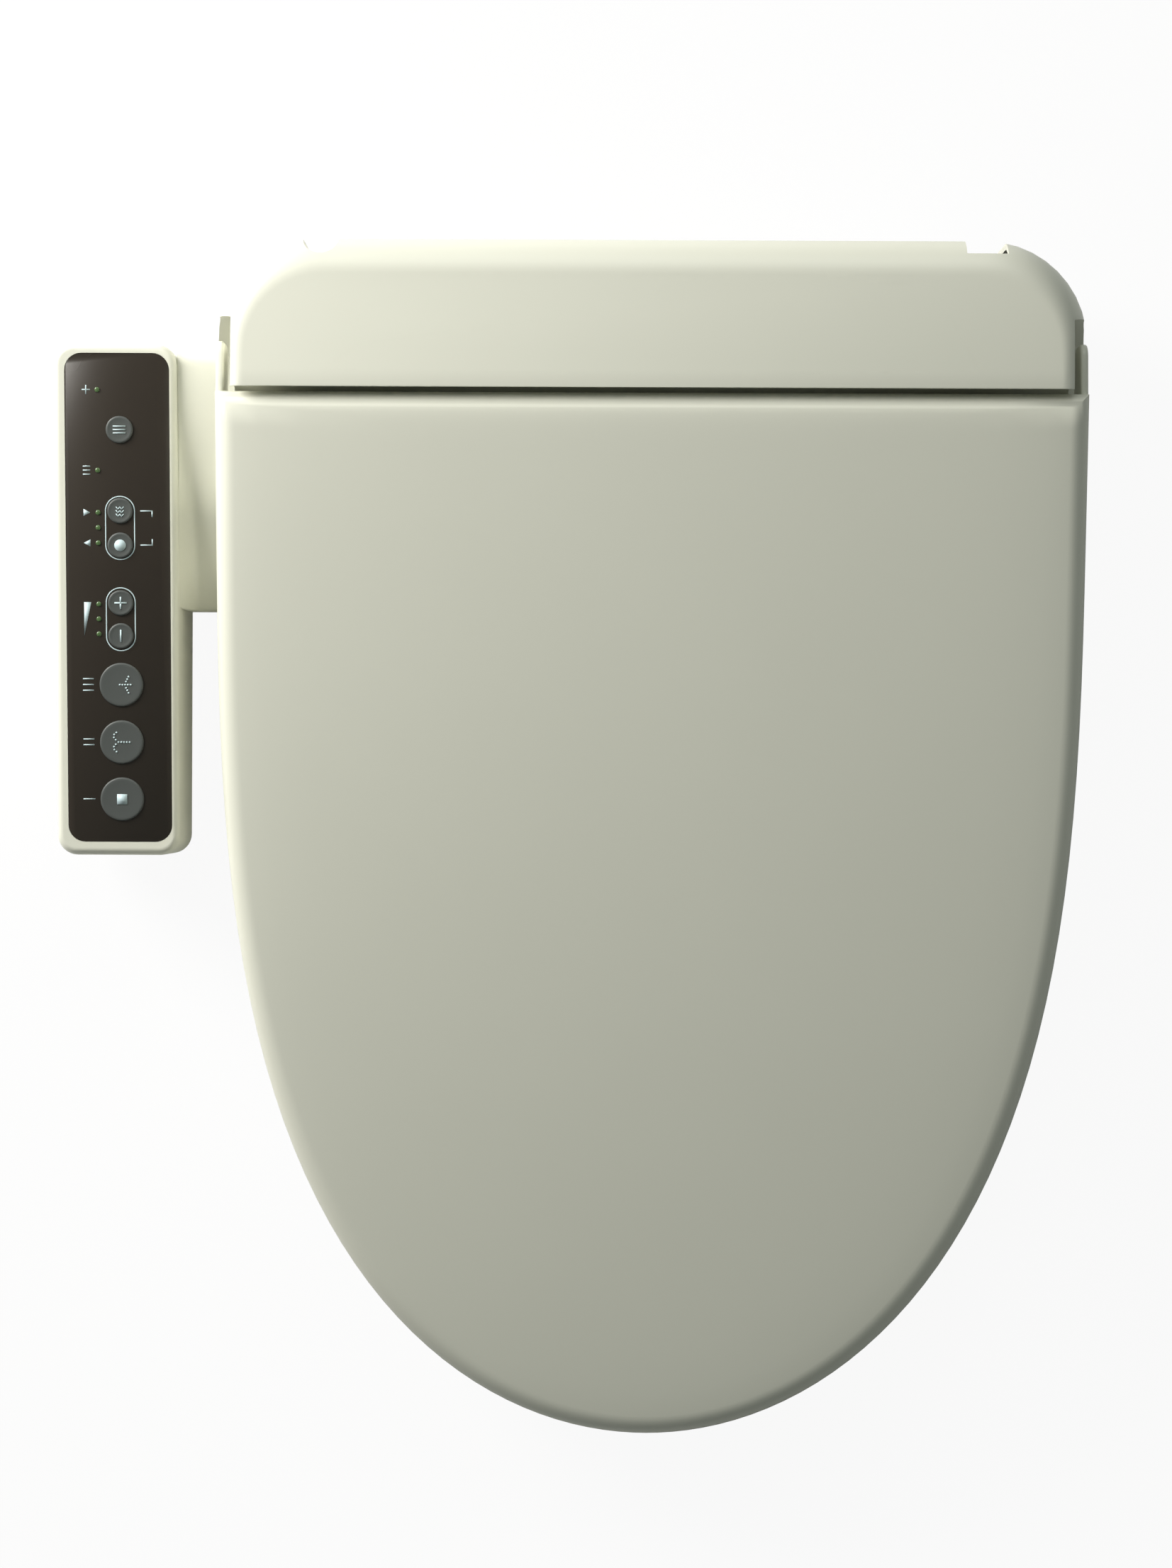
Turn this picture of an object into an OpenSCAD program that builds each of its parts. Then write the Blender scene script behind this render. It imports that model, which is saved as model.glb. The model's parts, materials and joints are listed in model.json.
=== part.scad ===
// Electric bidet seat: rear housing, side control panel, heated seat ring and soft-close lid.
// Millimetres. +Z is up, +X is the sitter's left when seated, the front of the seat points to -Y.
// The origin lies midway between the two bowl bolts, on the rim of the bowl.

/* [Lid and seat] */
// Half of the lid's width
lid_half_w = 190; // [170:1:200]
// How far the lid's tip lies in front of the bowl bolts
lid_reach = 474; // [440:1:490]
// Gap from the bolts' line forward to the lid's rear edge
lid_rear = 10; // [9:0.5:11]
// Height of the lid's top at its rear edge
lid_top_z = 134; // [131:1:136]
// How much lower the lid's top is at its tip
lid_fall = 67; // [50:1:72]
// Depth of the lid's skirt below its top
lid_skirt = 21; // [16:1:22]
// Wall of the lid
lid_wall = 3; // [2:0.1:3.2]
// Gap from the lid's outline in to the seat's outline
seat_inset = 4; // [3:0.5:8]
// Gap from the lid's top down to the seat's top
seat_drop = 24; // [23:1:30]
// Wall of the seat's shells
seat_wall = 3; // [2:0.1:3.5]
// Half width of the seat's opening
opening_half_w = 98; // [80:1:110]
// Front end of the seat's opening, in front of the bolts
opening_front = 382; // [340:1:390]
// Rear end of the seat's opening, in front of the bolts
opening_rear = 122; // [115:1:150]
// Height of the seat's underside over the rim
seat_foot = 8; // [5:0.5:12]

/* [Housing] */
// Half of the housing's width
housing_half_w = 192.5; // [190:0.5:205]
// Where the housing's rear wall lies behind the bolts
housing_back = 57; // [54:1:65]
// Where the housing's front wall lies in front of the bolts
housing_front = 60; // [58:1:64]
// Height of the housing's top
housing_top = 136; // [134:1:142]
// Height of the deck under the lid's rear end
deck_z = 99; // [96:1:100]
// Wall of the housing
housing_wall = 2.6; // [2:0.1:3.2]
// Radius of the housing's rear corners in plan
corner_r = 44; // [30:1:48]
// Thickness of the base plate
base_t = 3; // [2:0.1:4]

/* [Hinge] */
// Distance of the hinge axis in front of the bolts
hinge_y = 20; // [19:0.5:21]
// Height of the hinge axis
hinge_z = 123; // [122:0.5:124]
// Radius of the hinge pins
pin_r = 3; // [2:0.1:3.2]
// Radial running clearance of the pins
pin_fit = 0.05; // [0.02:0.01:0.08]
// Radius of the hinge knuckles
knuckle_r = 5.5; // [5:0.1:5.6]
// Half distance between the inner faces of the seat's lugs
lug_x = 161; // [155:1:162]
// Width of each seat lug
lug_w = 15; // [10:0.5:15]

/* [Control panel] */
// Width of the panel case
console_w = 55; // [53:1:60]
// Where the panel case's outer side lies from the middle
console_x = 266; // [266:1:275]
// Rear end of the panel case, behind the bolts
console_back = 14.7; // [12:0.1:18]
// Front end of the panel case, in front of the bolts
console_front = 213; // [212:1:230]
// Height of the panel's face on the bolts' line
console_z = 88.5; // [80:0.5:92]
// Height that the panel's face loses from rear to front
console_fall = 22; // [15:1:26]
// Height of the panel case's underside
console_foot = 16; // [10:1:24]
// Wall of the panel case
console_wall = 2.4; // [2:0.1:3]
// Width of the film
film_w = 46.5; // [44:0.5:48]
// Radius of the large buttons
button_r = 9.8; // [8:0.1:9.9]
// Radius of the small nozzle-clean button
small_button_r = 6.05; // [4:0.05:8]
// Travel of the buttons
button_travel = 0.8; // [0.4:0.1:1]
// Gap round the buttons
button_gap = 0.3; // [0.2:0.05:0.4]
// Front end of the neck between housing and panel, in front of the bolts
neck_front = 102; // [90:1:110]

/* [Nozzle] */
// Angle of the nozzle's path below the level
nozzle_tilt = 28; // [26:1:29]
// Height of the nozzle's mouth
nozzle_z = 32; // [30:1:34]
// Length of the nozzle
nozzle_l = 112; // [106:1:114]
// Radius of the nozzle
nozzle_r = 6; // [5:0.1:6.2]
// Travel of the nozzle
nozzle_travel = 75; // [60:1:75]

/* [Mounting] */
// Distance between the bowl bolts
bolt_span = 140; // [130:1:160]
// Radius of the holes for the bowl bolts
bolt_hole_r = 4.25; // [3.5:0.05:5]

/* [Hidden] */
$fn = 48;

lid_slope = lid_fall / (lid_reach - lid_rear);
lid_tilt = atan(lid_slope);
console_slope = console_fall / (console_front + console_back);
console_tilt = atan(console_slope);
// The lid's edge dives behind the hinge, inside this radius
dive_r = norm([hinge_y - lid_rear, lid_top_z - hinge_z]) + 0.8;
ear_back = 12.6;
ear_w = 3.5;
ear_foot = 99;
ear_pocket_r = norm([hinge_y + ear_back, hinge_z - ear_foot]) + 2;
ear_pocket_x = 182.5;
film_t = 0.8;
film_back = 10.5;
film_front = 207;
console_mid = console_x - 28.6;
column_x = -console_mid + 1;
light_x = column_x - 9.8;
board_drop = 11;
board_t = 1.6;
switch_h = 3.4;
bumper_gap = 0.3;
tooth_module = 1;
pinion_teeth = 12;
pinion_r = tooth_module * pinion_teeth / 2;

function lid_z(y) = lid_top_z + lid_slope * (y + lid_rear);
function face_z(y) = console_z + console_slope * y;

// Front outline of lid and seat: a blunt oval, at its full width 400 mm behind the tip
function nose_w(t, half, len) = half * pow(1 - pow(1 - t / len, 3), 0.5);
function nose(half, reach, rear, inset) =
    let (len = 400 * (reach - inset) / reach, n = 18)
    concat(
        [for (i = [0 : n]) let (t = len * pow(i / n, 2)) [nose_w(t, half - inset, len), t - reach + inset]],
        [[half - inset, -rear]]
    );

module oval_plan(half, reach, rear, inset) {
    right = nose(half, reach, rear, inset);
    polygon(concat(right, [for (i = [len(right) - 1 : -1 : 1]) [-right[i][0], right[i][1]]]));
}

// Leans its children like the lid's top, whose height at the bolts' line is the given one
module leaning(height) {
    multmatrix([[1, 0, 0, 0], [0, 1, 0, 0], [0, lid_slope, 1, height], [0, 0, 0, 1]]) children();
}

module both_sides() {
    children();
    mirror([1, 0, 0]) children();
}

module bar_x(x0, x1, r) {
    translate([x0, 0, 0]) rotate([0, 90, 0]) cylinder(h = x1 - x0, r = r);
}

module at_hinge() {
    translate([0, -hinge_y, hinge_z]) children();
}

// Side profile, drawn in Y and Z, stretched along X
module across(x0, x1) {
    translate([x0, 0, 0]) rotate([90, 0, 90]) linear_extrude(x1 - x0) children();
}

module rounded_plan(x0, x1, y0, y1, r) {
    hull() for (x = [x0 + r, x1 - r], y = [y0 + r, y1 - r]) translate([x, y]) circle(r, $fn = 32);
}

// ---------------------------------------------------------------- housing

module housing_plan(i) {
    r = corner_r - i;
    hull() {
        for (s = [-1, 1]) {
            translate([s * (housing_half_w - i - r), housing_back - i - r]) circle(r, $fn = 64);
            translate([s * (housing_half_w - i - 4), i - housing_front + 4]) circle(4, $fn = 32);
        }
    }
}

module housing_profile(i) {
    r = 16 - i;
    lip_r = 5;
    top = housing_top - i;
    lip = -lid_rear + 1.2 + i;
    difference() {
        union() {
            translate([i - housing_front, base_t]) square([housing_front - 2 * i + 30, deck_z - i - base_t]);
            hull() {
                translate([i - hinge_y, base_t]) square([housing_back + hinge_y - 2 * i, 60]);
                translate([housing_back - i - r, top - r - 4]) circle(r, $fn = 64);
                translate([lip + lip_r, top - lip_r]) circle(lip_r, $fn = 32);
            }
        }
        translate([-hinge_y, hinge_z]) circle(dive_r + i, $fn = 96);
        translate([-hinge_y - 60, deck_z - i]) square([60 + hinge_y + lip, 60]);
        translate([-hinge_y - 0.01, hinge_z]) square([lip + hinge_y, 60]);
    }
}

module housing_block(i) {
    difference() {
        intersection() {
            translate([0, 0, base_t - 1]) linear_extrude(160) housing_plan(i);
            across(-210, 210) housing_profile(i);
        }
        both_sides() at_hinge() bar_x(ear_pocket_x - i, 230, ear_pocket_r + i);
    }
}

// Grooves down the rear wall that clear a hose and a cord
module rear_grooves(i) {
    translate([-144, housing_back, 0]) cylinder(h = 200, r = 8 + i);
    translate([146, housing_back + 1, 0]) linear_extrude(200)
        polygon([[-16 - i, 1], [-8 - i, -8 - i], [8 + i, -8 - i], [16 + i, 1]]);
}

module nozzle_path() {
    translate([0, -housing_front, nozzle_z]) rotate([nozzle_tilt, 0, 0]) children();
}

module along_nozzle(y0, y1, r) {
    translate([0, y0, 0]) rotate([-90, 0, 0]) cylinder(h = y1 - y0, r = r);
}

release_y = -20;
release_z = 26;
release_r = 9;
release_travel = 4;
barrel_r = 5.9;
barrel_x0 = 104;
barrel_x1 = lug_x - 1;
damper_x1 = 150;
damper_r = 4.5;

module rear_cover() color("ivory") difference() {
    union() {
        difference() {
            housing_block(0);
            difference() {
                translate([0, 0, -1]) housing_block(housing_wall);
                rear_grooves(housing_wall);
            }
        }
        both_sides() at_hinge() {
            bar_x(barrel_x0, barrel_x1, barrel_r);
            translate([barrel_x0, -4, deck_z - hinge_z - 1]) cube([barrel_x1 - barrel_x0, 8, hinge_z - deck_z + 1]);
        }
    }
    rear_grooves(0);
    both_sides() at_hinge() {
        bar_x(barrel_x0 - 1, damper_x1, damper_r + pin_fit);
        bar_x(damper_x1 - 1, barrel_x1 + 1, pin_r + pin_fit);
    }
    nozzle_path() along_nozzle(-12, 12, nozzle_r + 4.5);
    translate([housing_half_w - 12, release_y, release_z]) rotate([0, 90, 0]) cylinder(h = 20, r = release_r + 0.3);
    translate([-housing_half_w - 2, -45, 30]) cube([8, 40, 30]);
    translate([-144, housing_back - 20, 22]) rotate([-90, 0, 0]) cylinder(h = 30, r = 6.2);
}

plate_half = [104, 46];
plate_t = 6;
inlet_x = -160;
inlet_y = 20;
inlet_r = 10.4;
inlet_flange_r = 12.5;
pillar_spots = [[-176, -46], [176, -46], [-120, 44], [170, 20], [-60, -50], [60, -50]];

module base_plate() color("whitesmoke") difference() {
    union() {
        linear_extrude(base_t) housing_plan(0);
        translate([-plate_half[0] - 3, -plate_half[1] - 3, 0])
            cube([2 * plate_half[0] + 6, 2 * plate_half[1] + 6, plate_t + 0.5 + base_t]);
        for (p = pillar_spots) translate([p[0], p[1], 0]) cylinder(h = 30, r = 4.5);
        for (x = [-3, tank_size[0] + 3]) translate([tank_at[0] + x, tank_at[1] + 27, 0])
            cylinder(h = tank_at[2] - 5, r = 5);
        difference() {
            for (x = [-14, 14], y = [-33, 34]) translate([x, y, plate_t + 1]) cylinder(h = 80, r = 3.5);
            nozzle_path() translate([-40, -20, -10]) cube([80, 200, 100]);
        }
        translate([inlet_x, inlet_y, 0]) cylinder(h = 26, r = inlet_r + 10.5);
    }
    translate([-plate_half[0] - 0.5, -plate_half[1] - 0.5, -1])
        cube([2 * plate_half[0] + 1, 2 * plate_half[1] + 1, plate_t + 1.5]);
    translate([inlet_x, inlet_y, -1]) cylinder(h = 24.8, r = inlet_r + 8);
    translate([inlet_x, inlet_y, 20]) cylinder(h = 10, r = inlet_flange_r + 0.05);
    rear_grooves(0);
    translate([150, 36, -1]) cylinder(h = 10, r = 6.05);
    for (p = pillar_spots) translate([p[0], p[1], -1]) cylinder(h = 24, r = 2);
    translate([-40, -housing_front - 1, base_t + 0.01]) cube([80, 14, 40]);
}

module mounting_plate() color("dimgray") difference() {
    translate([-plate_half[0], -plate_half[1], 0]) cube([2 * plate_half[0], 2 * plate_half[1], plate_t]);
    both_sides() {
        translate([bolt_span / 2, 0, plate_t - 4]) cylinder(h = 5, r = 20.3);
        hull() for (y = [-10, 10]) translate([bolt_span / 2, y, -1]) cylinder(h = 8, r = 7, $fn = 32);
    }
    translate([-30, -30, -1]) cube([60, 60, plate_t + 2]);
}

module bolt_retainers() color("dimgray") both_sides() translate([bolt_span / 2, 0, plate_t - 4]) difference() {
    union() {
        cylinder(h = 4, r = 20);
        translate([0, 0, 4 - plate_t]) cylinder(h = plate_t - 3, r = 6.7);
    }
    translate([0, 0, -plate_t]) cylinder(h = 2 * plate_t, r = bolt_hole_r);
}

module release_button() color("lightgray") translate([housing_half_w, release_y, release_z]) rotate([0, 90, 0]) {
    translate([0, 0, -10]) cylinder(h = 10 + release_travel + 0.5, r = release_r);
    translate([0, 0, -13]) cylinder(h = 3, r = release_r + 3);
}

module cord_gland() color("dimgray") translate([-144, housing_back, 22]) rotate([90, 0, 0]) difference() {
    union() {
        translate([0, 0, 5.2]) cylinder(h = 12, r = 6);
        translate([0, 0, 5]) cylinder(h = 2.9, r = 6);
        translate([0, 0, 10.8]) cylinder(h = 3, r = 9);
    }
    translate([0, 0, -1]) cylinder(h = 30, r = 3.6);
}

module drain_plug() color("dimgray") translate([150, 36, 0.6]) {
    cylinder(h = 12, r = 6);
    translate([0, 0, 2.4]) cylinder(h = 3, r = 9);
}

module screws() color("silver") for (p = pillar_spots) translate([p[0], p[1], 0.6]) {
    cylinder(h = 21, r = 1.95);
    cylinder(h = 1.6, r = 1.99);
}

// ---------------------------------------------------------------- control panel

module console_block(i, foot = console_foot) {
    x0 = -console_x + i;
    x1 = -console_x + console_w - i;
    intersection() {
        linear_extrude(120) rounded_plan(x0, x1, -console_front + i, console_back - i, 9 - i);
        across(x0 - 1, x1 + 1) polygon([
            [-console_front - 1, foot], [console_back + 1, foot],
            [console_back + 1, face_z(console_back + 1) - i], [-console_front - 1, face_z(-console_front - 1) - i]
        ]);
    }
}

// Frame of the panel's face: X across, Y up the slope, Z out of the face
module on_face(x, y) {
    translate([x, y, face_z(y)]) rotate([console_tilt, 0, 0]) children();
}

module neck_profile(i) {
    y1 = console_back - 1.1 - i;
    y0 = -neck_front + i;
    r = 36;
    top = face_z(0) - 3 - i;
    difference() {
        hull() {
            translate([y1 - 10, top - 10]) circle(10 - i / 2, $fn = 32);
            translate([y1 - 60, top - r - 2]) circle(r, $fn = 64);
            translate([y0, 34 + i]) square([y1 - y0, 2]);
            translate([y0 + 16, 46 - i]) circle(16, $fn = 32);
        }
        translate([-300, -66 + i]) square([600, 100]);
    }
}

module neck_block(i, x0, x1) {
    across(x0, x1) neck_profile(i);
}

neck_x0 = -console_x + console_w;
neck_x1 = -housing_half_w;

module neck_cover() color("ivory") difference() {
    neck_block(0, neck_x0, neck_x1);
    neck_block(housing_wall, neck_x0 - 1, neck_x1 + 1);
}

// Pockets and through holes of the panel, shared by case and film
module button_holes(gap) {
    for (b = BUTTONS) on_face(column_x, b[1]) translate([0, 0, -8]) cylinder(h = 20, r = b[2] + gap);
    for (y = LIGHTS) on_face(light_x, y) translate([0, 0, -8]) cylinder(h = 20, r = light_r + 0.1);
}

light_r = 1.15;
pair_r = 5.7;
// Name, place behind the bolts and radius of each button
BUTTONS = [
    ["clean", -23.2, small_button_r], ["water_temp", -59.1, pair_r], ["seat_temp", -74.4, pair_r],
    ["pressure_up", -100, pair_r], ["pressure_down", -114.7, pair_r],
    ["front_wash", -136.5, button_r], ["rear_wash", -162.2, button_r], ["stop", -187.8, button_r]
];
// Lights: one by the clean button, and four levels, of which the upper pair is split
LIGHTS = [-5.6, -41.2, -59.9, -66.6, -73.4, -100.6, -107.2, -113.9];

module film_outline() {
    rounded_plan(-console_mid - film_w / 2, -console_mid + film_w / 2, -film_front, film_back, 6);
}

module film_pocket(depth) {
    intersection() {
        linear_extrude(120) film_outline();
        across(-console_x, -console_x + console_w) polygon([
            [-film_front - 5, face_z(-film_front - 5) - depth], [film_back + 5, face_z(film_back + 5) - depth],
            [film_back + 5, face_z(film_back + 5) + 5], [-film_front - 5, face_z(-film_front - 5) + 5]
        ]);
    }
}

module console_case() color("ivory") difference() {
    console_block(0);
    console_block(console_wall, console_foot - 1);
    film_pocket(film_t);
    button_holes(button_gap);
    translate([-console_x + console_w - console_wall - 1, -70, 48]) cube([10, 60, 18]);
}

module console_bottom() color("ivory") {
    gap = console_wall + 0.1;
    translate([0, 0, console_foot]) linear_extrude(2)
        rounded_plan(gap - console_x, console_w - console_x - gap, gap - console_front, console_back - gap, 9 - gap);
    for (x = [8, console_w - 8], y = [8, 8 + 199]) translate([x - console_x, y - console_front, console_foot])
        cylinder(h = face_z(y - console_front) - board_drop - board_t - console_foot - 1.5, r = 3);
}

module panel_film() color("#40342a") difference() {
    intersection() {
        film_pocket(film_t - 0.02);
        console_block(0);
    }
    button_holes(button_gap);
}

module indicator_lights() color("#7f8f62") for (y = LIGHTS) on_face(light_x, y)
    translate([0, 0, -board_drop]) cylinder(h = board_drop + 0.15, r = light_r);

module panel_board() color("darkgreen") {
    mid = (film_back - film_front) / 2;
    on_face(-console_mid, mid) translate([-22, -102, -board_drop - board_t]) difference() {
        cube([44, 204, board_t]);
        for (x = [5, 39], y = [5, 199]) translate([x, y, -1]) cylinder(h = 4, r = 1.6);
    }
    for (b = BUTTONS) on_face(column_x, b[1]) translate([-3, -3, -board_drop]) cube([6, 6, switch_h]);
}

// Cap, retaining flange under the case's top and stem over its switch
module button_shape(b) {
    on_face(column_x, b[1]) {
        translate([0, 0, -console_wall - 0.5]) cylinder(h = console_wall + 1.4, r = b[2]);
        translate([0, 0, -console_wall - 1.6]) cylinder(h = 1.5, r = min(b[2] + 1, 7.6));
        translate([0, 0, switch_h - board_drop + button_travel + 0.1])
            cylinder(h = board_drop - switch_h - button_travel - console_wall - 0.6, r = 2);
    }
}

module panel_button(i) {
    color("dimgray") button_shape(BUTTONS[i]);
}

module button_clean() panel_button(0);
module button_water_temp() panel_button(1);
module button_seat_temp() panel_button(2);
module button_pressure_up() panel_button(3);
module button_pressure_down() panel_button(4);
module button_front_wash() panel_button(5);
module button_rear_wash() panel_button(6);
module button_stop() panel_button(7);

// ---------------------------------------------------------------- lid and seat

lid_length = (lid_reach - lid_rear) / cos(lid_tilt);

// A slice of the lid between two depths under its top, in the lid's own lean
module lid_slice(depth0, depth1, inset, rear = 0) {
    translate([0, -lid_rear, lid_top_z]) rotate([lid_tilt, 0, 0]) translate([0, 0, -depth1])
        linear_extrude(depth1 - depth0) oval_plan(lid_half_w, lid_length, rear, inset);
}

// Side profile of the cheek that carries the hinge boss and reaches back as the lid's ear
module ear_profile() {
    hull() {
        translate([-56, lid_z(-56) - lid_skirt + 1]) square([4, 7]);
        translate([-36, ear_foot + 10]) circle(6, $fn = 32);
        translate([ear_back - 6, hinge_z - 6]) circle(6, $fn = 32);
        translate([ear_back - 8, ear_foot + 8]) circle(8, $fn = 32);
    }
}

module lid() color("ivory") difference() {
    union() {
        difference() {
            union() {
                lid_slice(0, 2.5, 5);
                lid_slice(2.5, 6, 2);
                lid_slice(6, lid_skirt, 0);
            }
            lid_slice(lid_wall, lid_skirt + 1, 5 + lid_wall, -4);
            lid_slice(6 + lid_wall, lid_skirt + 1, lid_wall, -4);
        }
        both_sides() {
            across(lid_half_w - ear_w, lid_half_w) ear_profile();
            at_hinge() bar_x(lug_x + lug_w + 1, lid_half_w - 1, knuckle_r);
        }
    }
    both_sides() at_hinge() bar_x(lug_x, lid_half_w - 2, pin_r + pin_fit);
}

lid_foot_spots = [[-150, -300], [150, -300], [-80, -430], [80, -430]];

module lid_bumpers() color("gainsboro") for (p = lid_foot_spots)
    translate([p[0], p[1], lid_z(p[1]) - seat_drop + 0.8])
        cylinder(h = seat_drop - lid_wall - 2, r = 5);

module opening_plan(grow) {
    hull() {
        for (t = [0 : 12]) {
            a = 180 * t / 12;
            translate([
                (opening_half_w + grow - 20) * cos(a),
                -opening_front + 110 - (90 + grow) * sin(a)
            ]) circle(20, $fn = 24);
        }
        for (s = [-1, 1]) translate([s * (opening_half_w + grow - 60), -opening_rear - 60 + grow]) circle(60, $fn = 48);
    }
}

module seat_hull(i) {
    hull() {
        leaning(lid_top_z + lid_slope * lid_rear - seat_drop) {
            translate([0, 0, -0.5 - i]) linear_extrude(0.5)
                oval_plan(lid_half_w, lid_reach, 62 + i, seat_inset + 14 + i * 0.6);
            translate([0, 0, -5 - i]) linear_extrude(0.5)
                oval_plan(lid_half_w, lid_reach, 62 + i, seat_inset + 4 + i);
            translate([0, 0, -12 - i]) linear_extrude(0.5)
                oval_plan(lid_half_w, lid_reach, 62 + i, seat_inset + i);
        }
        translate([0, 0, seat_foot - i]) linear_extrude(1) oval_plan(lid_half_w, lid_reach, 62 + i, seat_inset + i);
    }
}

// The seat's rear bridge is arched over the nozzle's way
module nozzle_arch(grow) {
    translate([-46 - grow, -opening_rear - 30, -1]) cube([92 + 2 * grow, opening_rear - 20, 73 + grow]);
}

module seat_ring(i) {
    difference() {
        seat_hull(i);
        translate([0, 0, -20]) linear_extrude(200) opening_plan(i);
        nozzle_arch(i);
    }
}

module seat_lug() {
    hull() {
        at_hinge() bar_x(lug_x, lug_x + lug_w, knuckle_r);
        translate([lug_x, -84, lid_z(-84) - seat_drop - 4]) cube([lug_w, 12, 13]);
    }
}

module seat_top() color("ivory") difference() {
    union() {
        difference() {
            seat_ring(0);
            seat_ring(seat_wall);
        }
        both_sides() seat_lug();
    }
    translate([-250, -500, -5]) cube([500, 500, seat_foot + seat_wall + 5]);
    both_sides() at_hinge() bar_x(lug_x - 1, lug_x + lug_w + 1, pin_r + pin_fit);
}

module seat_bottom() color("whitesmoke") difference() {
    translate([0, 0, seat_foot]) linear_extrude(seat_wall) difference() {
        oval_plan(lid_half_w, lid_reach, 62, seat_inset);
        opening_plan(0);
    }
    nozzle_arch(0);
}

module seat_heater() color("silver")
    translate([0, -lid_rear, lid_top_z - seat_drop - seat_wall - 1.4]) rotate([lid_tilt, 0, 0])
        translate([0, lid_rear, 0]) linear_extrude(0.6) difference() {
            oval_plan(lid_half_w, lid_reach, 62, seat_inset + 30);
            opening_plan(12);
            translate([-200, 32 - opening_rear]) square([400, 100]);
        }

seat_foot_spots = [[-140, -150], [140, -150], [-150, -290], [150, -290], [-70, -425], [70, -425]];

module seat_bumpers() color("gainsboro") for (p = seat_foot_spots)
    translate([p[0], p[1], 0]) rounded_foot();

module rounded_foot() {
    cylinder(h = seat_foot, r = 8);
}

module hinge_pins() color("silver") both_sides() at_hinge() bar_x(damper_x1, lid_half_w - 2.2, pin_r);

module soft_close_dampers() color("dimgray") both_sides() at_hinge() bar_x(barrel_x0 + 1, damper_x1 - 0.1, damper_r);

// ---------------------------------------------------------------- water

tank_at = [62, -14, 16];
tank_size = [94, 60, 78];

module water_tank() color("gainsboro") translate(tank_at) difference() {
    union() {
        cube(tank_size);
        translate([20, 30, tank_size[2]]) cylinder(h = 5, r = 9);
        for (x = [-6, tank_size[0]]) translate([x, 20, -5]) cube([6, 14, 7]);
        translate([-8, 44, 12]) rotate([0, 90, 0]) cylinder(h = 9, r = 4);
        translate([-8, 44, 60]) rotate([0, 90, 0]) cylinder(h = 9, r = 4);
    }
    translate([2.5, 2.5, 2.5]) cube([tank_size[0] - 5, tank_size[1] - 5, tank_size[2] - 5]);
    translate([20, 30, tank_size[2] - 4]) cylinder(h = 12, r = 6);
    translate([70, 10, -1]) cylinder(h = 5, r = 5.05);
    for (z = [12, 60]) translate([-9, 44, z]) rotate([0, 90, 0]) cylinder(h = 14, r = 2.6);
    for (x = [-3, tank_size[0] + 3]) translate([x, 27, -6]) cylinder(h = 12, r = 1.8);
}

module tank_heater() color("silver") translate(tank_at) {
    translate([70, 10, -3]) cylinder(h = 13, r = 5);
    translate([70, 10, 10]) cylinder(h = 50, r = 4);
    translate([24, 6, 16]) cube([47, 8, 8]);
    translate([24, 6, 16]) cube([8, 8, 44]);
}

module thermal_fuse() color("white") translate(tank_at) translate([52, 21, tank_size[2]]) {
    cube([20, 8, 2]);
    translate([10, 4, 2]) cylinder(h = 4, r = 3.5);
}

valve_at = [-150, -30, base_t];

module solenoid_valve() color("dimgray") translate(valve_at) {
    cube([40, 30, 22]);
    translate([20, 15, 22]) cylinder(h = 34, r = 13);
    translate([20, 15, 56]) cylinder(h = 3, r = 9);
    translate([-12, 15, 11]) rotate([0, 90, 0]) cylinder(h = 64, r = 4);
}

module inlet_fitting() color("silver") translate([inlet_x, inlet_y, 0]) difference() {
    union() {
        translate([0, 0, 6]) cylinder(h = 17, r = inlet_r);
        translate([0, 0, 22]) cylinder(h = 22, r = inlet_flange_r);
        rotate([0, 0, -100]) translate([0, 0, 36]) rotate([0, 90, 0]) cylinder(h = 24, r = 5);
    }
    translate([0, 0, 5]) cylinder(h = 30, r = 7.6);
    rotate([0, 0, -100]) translate([0, 0, 36]) rotate([0, 90, 0]) cylinder(h = 30, r = 3);
}

module inlet_strainer() color("gray") translate([inlet_x, inlet_y, 7]) difference() {
    union() {
        cylinder(h = 2, r = 7.5);
        cylinder(h = 20, r = 6.4);
    }
    translate([0, 0, -1]) cylinder(h = 19, r = 5.4);
}

// Hose through given points, with a ball at each bend
module hose(points, r) {
    for (i = [0 : len(points) - 2]) {
        d = points[i + 1] - points[i];
        translate(points[i]) rotate([0, acos(d[2] / norm(d)), atan2(d[1], d[0])]) cylinder(h = norm(d), r = r, $fn = 10);
    }
    for (i = [1 : 1 : len(points) - 2]) translate(points[i]) sphere(r * 1.04, $fn = 12);
}

module water_hoses() color("gainsboro") {
    way = [cos(-100), sin(-100), 0];
    out = [inlet_x, inlet_y, 36] + 24 * way;
    into = valve_at + [-12, 15, 11];
    hose([out, out + 6 * way, into + [-9, 6, 12], into + [-8, 0, 0], into], 3.6);
    from_valve = valve_at + [52, 15, 11];
    to_tank = tank_at + [-8, 44, 12];
    hose([from_valve, from_valve + [8, 0, 0], from_valve + [14, 23, 12], to_tank + [-16, -12, -2], to_tank + [-7, 0, 0],
        to_tank], 3.4);
    from_tank = tank_at + [-8, 44, 60];
    hose([from_tank, from_tank + [-10, 0, 0], [24, 33, 84], [10, 33, 84]], 3.4);
}

// ---------------------------------------------------------------- nozzle

rack_z = nozzle_r + 2.2;
pinion_y = 28;
pinion_axis_z = rack_z + pinion_r;
tooth_tip = 0.65 * tooth_module;
tooth_root = 0.9 * tooth_module;
tooth_pitch = PI * tooth_module;
rack_y = pinion_y - 3 * tooth_pitch;

module rack_tooth() {
    polygon([
        [-0.36 * tooth_pitch, -tooth_root], [0.36 * tooth_pitch, -tooth_root],
        [0.13 * tooth_pitch, tooth_tip], [-0.13 * tooth_pitch, tooth_tip]
    ]);
}

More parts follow.
